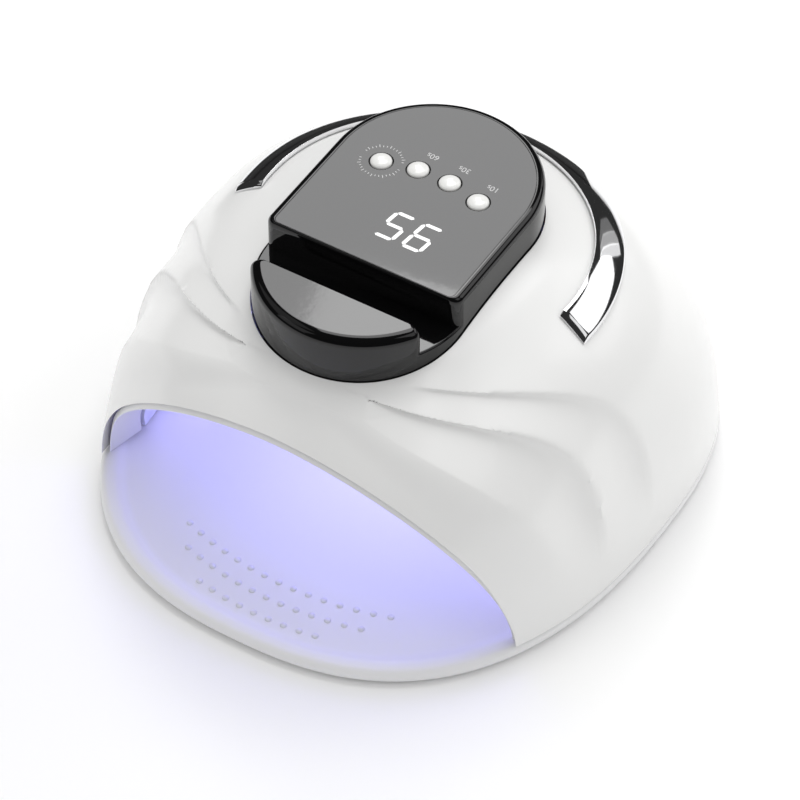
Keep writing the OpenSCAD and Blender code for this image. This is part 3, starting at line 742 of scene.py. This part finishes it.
def make_housing():
    """The black module: skirt, block behind the slot and half-moon rest, as one piece."""
    low = HOUSING_LO.z
    skirt = mesh_object("module_case", *loft(rounded_rings(skirt_outline, low, SLOT_FLOOR,
                                                           1.0 * MM)))
    block = mesh_object("block", *loft(rounded_rings(block_outline, low + 1 * MM, MODULE_TOP,
                                                     2.7 * MM)))
    rest = mesh_object("rest", *loft(rounded_rings(rest_outline, low + 1 * MM, REST_TOP,
                                                   3.6 * MM)))
    carve(skirt, block, "UNION")
    carve(skirt, rest, "UNION")
    hollow = mesh_object("hollow", *loft(
        upright(block_outline(2 * MM, near=2 * MM), low - 1 * MM, HOLLOW_TOP)))
    carve(skirt, hollow, "DIFFERENCE")
    recess = mesh_object("recess", *loft(
        upright(block_outline(3 * MM), MODULE_TOP - 1.2 * MM, MODULE_TOP + 1 * MM)))
    carve(skirt, recess, "DIFFERENCE")
    for x, y in BUTTON_PLACES:
        hole = tube_cutter(BUTTON_HOLE_R, 20 * MM, 64)
        hole.data.transform(Matrix.Translation((x, y, MODULE_TOP)))
        carve(skirt, hole, "DIFFERENCE")
    skirt.data.materials.append(MODULE_BLACK)
    return link(skirt, "lamp", "module_black", "module_housing")


def flat_curve(name, outlines, depth, bevel):
    """A flat plate from closed outlines, later ones being holes, as a mesh object."""
    curve = bpy.data.curves.new(name, "CURVE")
    curve.dimensions = "2D"
    curve.fill_mode = "BOTH"
    curve.extrude = depth / 2 - bevel
    curve.bevel_depth = bevel
    curve.bevel_resolution = 2
    curve.offset = -bevel
    for outline in outlines:
        spline = curve.splines.new("POLY")
        spline.points.add(len(outline) - 1)
        for point, (x, y) in zip(spline.points, outline):
            point.co = (x, y, 0, 1)
        spline.use_cyclic_u = True
    obj = bpy.data.objects.new(name, curve)
    bpy.context.scene.collection.objects.link(obj)
    bpy.context.view_layer.update()
    mesh = bpy.data.meshes.new_from_object(
        obj.evaluated_get(bpy.context.evaluated_depsgraph_get()))
    bpy.data.objects.remove(obj)
    bm = bmesh.new()
    bm.from_mesh(mesh)
    bmesh.ops.remove_doubles(bm, verts=bm.verts, dist=0.00001)
    bm.to_mesh(mesh)
    bm.free()
    mesh.shade_smooth()
    mesh.set_sharp_from_angle(angle=math.radians(12))
    return bpy.data.objects.new(name, mesh)


def make_glass():
    """The smoked glass, with a hole for each cap."""
    depth = GLASS_HI.z - GLASS_LO.z
    outlines = [block_outline(3.12 * MM)]
    for x, y in BUTTON_PLACES:
        outlines.append(arc(x, y, BUTTON_HOLE_R, 0, 352.5, 47))
    glass = flat_curve("display_glass_plate", outlines, depth, 0.12 * MM)
    glass.data.transform(Matrix.Translation((0, 0, (GLASS_LO.z + GLASS_HI.z) / 2)))
    glass.data.materials.append(SMOKED_GLASS)
    return link(glass, "lamp", "smoked_glass", "display_glass")


# seven segments of a digit, as ends on a grid 1 wide and 2 high
SEGMENTS = {"a": ((0, 2), (1, 2)), "b": ((1, 2), (1, 1)), "c": ((1, 1), (1, 0)),
            "d": ((0, 0), (1, 0)), "e": ((0, 1), (0, 0)), "f": ((0, 2), (0, 1)),
            "g": ((0, 1), (1, 1))}
DIGIT_W, DIGIT_H = 6.9 * MM, 12.6 * MM
DIGIT_SLANT = 0.13


# middle of each lit digit and its lit bars: 95 to the user, who sits at +Y
DIGITS = [(1.3 * MM, "afgcd"), (12.3 * MM, "afgcde")]
DIGITS_Y = -7.6 * MM


def make_digits():
    """The two lit digits: mitred bars under the glass, shown at its face."""
    half = 0.72 * MM
    gap = 0.2 * MM
    points, faces = [], []
    for centre, on in DIGITS:
        for key in on:
            (x0, y0), (x1, y1) = SEGMENTS[key]
            p0 = Vector(((x0 - 0.5) * DIGIT_W, (y0 / 2 - 0.5) * DIGIT_H))
            p1 = Vector(((x1 - 0.5) * DIGIT_W, (y1 / 2 - 0.5) * DIGIT_H))
            along = (p1 - p0).normalized()
            side = Vector((-along.y, along.x))
            p0, p1 = p0 + along * gap, p1 - along * gap
            outline = [p0, p0 + along * half + side * half, p1 - along * half + side * half,
                       p1, p1 - along * half - side * half, p0 + along * half - side * half]
            slanted = [(centre + p.x + DIGIT_SLANT * p.y, DIGITS_Y + p.y) for p in outline]
            add_loft(points, faces, upright(slanted, MODULE_TOP - 0.1 * MM,
                                            MODULE_TOP + 0.03 * MM))
    digits = mesh_object("lit_digits", points, faces, sharp=20)
    digits.data.materials.append(DIGIT_LIT)
    return link(digits, "lamp", "display_face")


def make_label(words, x, y):
    """One printed label, which the user at +Y reads upright."""
    text = bpy.data.curves.new("label", "FONT")
    text.body = words
    text.size = 3.4 * MM
    text.align_x = "CENTER"
    text.extrude = 0.02 * MM
    source = bpy.data.objects.new(f"label_{words}", text)
    bpy.context.scene.collection.objects.link(source)
    bpy.context.view_layer.update()
    mesh = bpy.data.meshes.new_from_object(
        source.evaluated_get(bpy.context.evaluated_depsgraph_get()))
    bpy.data.objects.remove(source)
    mesh.transform(Matrix.Translation((x, y, MODULE_TOP + 0.01 * MM))
                   @ Matrix.Rotation(math.pi, 4, "Z"))
    label = bpy.data.objects.new(f"label_{words}", mesh)
    label.data.materials.clear()
    label.data.materials.append(PRINT_WHITE)
    return link(label, "lamp", "display_face")


TICKS, TICK_START, TICK_END, TICK_LONG_END = 36, 7.1 * MM, 7.9 * MM, 8.4 * MM
TICK_HALF_W = 0.14 * MM
TICK_GAPS = (0, 1, 17, 18)


def make_labels():
    """Generic seconds beside three buttons and a ring of ticks round the first."""
    for (x, y), words in zip(BUTTON_PLACES[1:], ("60s", "30s", "10s")):
        make_label(words, x + 1.0 * MM, y + 9.4 * MM)
    cx, cy = BUTTON_PLACES[0]
    points, faces = [], []
    for i in range(TICKS):
        if i in TICK_GAPS:
            continue
        a = 2 * math.pi * (i + 0.5) / TICKS
        end = TICK_LONG_END if i % 3 == 0 else TICK_END
        out, side = Vector((math.cos(a), math.sin(a))), Vector((-math.sin(a), math.cos(a)))
        side *= TICK_HALF_W
        corners = [out * TICK_START - side, out * end - side, out * end + side,
                   out * TICK_START + side]
        outline = [(cx + p.x, cy + p.y) for p in corners]
        add_loft(points, faces, upright(outline, MODULE_TOP - 0.02 * MM,
                                        MODULE_TOP + 0.02 * MM))
    ring = mesh_object("tick_ring", points, faces)
    ring.data.materials.append(PRINT_WHITE)
    return link(ring, "lamp", "display_face")


# ---- chrome band ---------------------------------------------------------------------------

BAND_R, BAND_W, BAND_Y = 61.3 * MM, 10.7 * MM, 11 * MM
BAND_T = 2.2 * MM
BAND_START, BAND_END = -7.0, 187.0


def make_band():
    """The chrome band, bright and gently crowned, with bevelled ends."""
    steps = 220
    sweep = BAND_END - BAND_START
    lift = 0.25 * MM
    # across the band: fraction of its width, height of the face as a share of its thickness
    face = [(0.0, 0.0), (0.0, 0.75), (0.015, 0.92), (0.05, 1.0), (0.25, 1.07), (0.5, 1.1),
            (0.75, 1.07), (0.95, 1.0), (0.985, 0.92), (1.0, 0.75), (1.0, 0.0)]
    sections = []
    for k in range(steps + 1):
        a = math.radians(BAND_START + sweep * k / steps)
        edge = min(k, steps - k) / steps * math.radians(sweep) * (BAND_R + BAND_W / 2)
        share = 0.3 + 0.7 * ease(edge / (1.8 * MM))
        section = []
        for across, up in face:
            r = BAND_R + BAND_W * across
            x, y = r * math.cos(a), BAND_Y + r * math.sin(a)
            section.append((x, y, dome_z(x, y) + lift + BAND_T * up * (share if up > 0 else 1)))
        sections.append(section)
    points, faces = loft(sections)
    band = mesh_object("chrome_band_trim", points, faces, sharp=50)
    band.data.materials.append(CHROME)
    return link(band, "lamp", "band_chrome", "chrome_band")


# ---- stage ---------------------------------------------------------------------------------

VIEW_AZIMUTH, VIEW_ELEVATION, VIEW_DISTANCE = 31.56, 47.46, 1.527
VIEW_TARGET = Vector((0, -0.002, 0))
VIEW_TILT = 0.0111
LENS = 189.0


def direction(azimuth, elevation):
    """Unit vector towards a place at that azimuth (0 is -Y, 90 is +X) and elevation."""
    a, e = math.radians(azimuth), math.radians(elevation)
    return Vector((math.sin(a) * math.cos(e), -math.cos(a) * math.cos(e), math.sin(e)))


def make_camera():
    back = direction(VIEW_AZIMUTH, VIEW_ELEVATION)
    right = Vector((math.cos(math.radians(VIEW_AZIMUTH)),
                    math.sin(math.radians(VIEW_AZIMUTH)), 0))
    up = back.cross(right)
    cam = bpy.data.objects.new("camera", bpy.data.cameras.new("camera"))
    cam.data.lens = LENS
    cam.data.sensor_width = 36
    cam.location = VIEW_TARGET + back * VIEW_DISTANCE
    aim = -back + up * VIEW_TILT
    cam.rotation_euler = aim.to_track_quat("-Z", "Y").to_euler()
    bpy.context.scene.collection.objects.link(cam)
    bpy.context.scene.camera = cam


def area_light(name, azimuth, elevation, distance, size, power, height=None):
    """A soft box that faces the object from that direction."""
    data = bpy.data.lights.new(name, "AREA")
    data.shape = "RECTANGLE"
    data.size = size
    data.size_y = height or size
    data.energy = power
    light = bpy.data.objects.new(name, data)
    away = direction(azimuth, elevation)
    light.location = away * distance + Vector((0, 0, 0.06))
    light.rotation_euler = (-away).to_track_quat("-Z", "Y").to_euler()
    bpy.context.scene.collection.objects.link(light)


def make_world():
    """An even white sky, which polished pieces see much darker."""
    scene = bpy.context.scene
    world = bpy.data.worlds.new("studio")
    scene.world = world
    world.use_nodes = True
    tree = world.node_tree
    sky = tree.nodes["Background"]
    sky.inputs["Color"].default_value = (1, 1, 1, 1)
    sky.inputs["Strength"].default_value = 0.55
    dark = tree.nodes.new("ShaderNodeBackground")
    dark.inputs["Color"].default_value = (1, 1, 1, 1)
    dark.inputs["Strength"].default_value = 0.03
    rays = tree.nodes.new("ShaderNodeLightPath")
    mix = tree.nodes.new("ShaderNodeMixShader")
    tree.links.new(rays.outputs["Is Glossy Ray"], mix.inputs["Fac"])
    tree.links.new(sky.outputs["Background"], mix.inputs[1])
    tree.links.new(dark.outputs["Background"], mix.inputs[2])
    tree.links.new(mix.outputs["Shader"], tree.nodes["World Output"].inputs["Surface"])


# azimuth in degrees and reach in metres of each corner of the card
CARD_CORNERS = [(186, 0.38), (186, 6), (215, 6), (244, 6), (244, 0.38), (215, 0.34)]


def make_studio():
    """A white floor, a black card behind, and the soft boxes."""
    scene = bpy.context.scene
    scene.view_settings.view_transform = "Standard"
    floor = mesh_object("floor", [(-4, -4, 0), (4, -4, 0), (4, 4, 0), (-4, 4, 0)], [(0, 1, 2, 3)])
    pale = moulded("floor_pale", (0.98, 0.98, 0.98), (0.975, 0.975, 0.975), 0.8)
    floor.data.materials.append(pale)
    scene.collection.objects.link(floor)
    # a black card on the floor behind, out of view, that the left of the band mirrors
    corners = [direction(azimuth, 0) * reach for azimuth, reach in CARD_CORNERS]
    card = mesh_object("black_card", [(v.x, v.y, 0.0005) for v in corners], [tuple(range(6))])
    black = moulded("card_black", (0.02, 0.02, 0.02), (0.015, 0.015, 0.015), 0.9)
    card.data.materials.append(black)
    scene.collection.objects.link(card)
    area_light("softbox_rear", 211.5, 47.5, 1.6, 0.5, 3.6)
    area_light("softbox_right", 143.5, 34, 1.5, 0.98, 2.8, height=0.72)
    for azimuth, power in ((164.5, 0.2), (169, 0.1), (173.5, 0.035)):
        area_light("fade_right", azimuth, 20, 1.5, 0.13, power, height=0.6)
    area_light("softbox_left", -75, 50, 1.6, 1.0, 1.0)
    area_light("softbox_top", 190, 66, 1.8, 1.1, 12)
    area_light("softbox_side", 92, 45, 1.7, 0.9, 2.2)
    area_light("softbox_front", -38, 32, 1.6, 0.8, 0.9)


def make_led_light():
    """The lamp's own violet light inside the cavity."""
    for y in (-0.025, 0.03):
        data = bpy.data.lights.new("led_light", "AREA")
        data.shape = "RECTANGLE"
        data.size, data.size_y = 0.09, 0.05
        data.energy = 0.026
        data.color = GLOW_VIOLET
        data.spread = math.radians(150)
        light = bpy.data.objects.new("led_light", data)
        light.location = (0, y, 0.066)
        bpy.context.scene.collection.objects.link(light)
        light.parent = BODIES["lamp"]


make_camera()
make_world()
make_studio()
make_shell()
make_arch_frame()
make_reflector()
make_base_plate()
make_grip_dots()
make_housing()
make_glass()
make_digits()
make_labels()
make_band()
make_led_light()
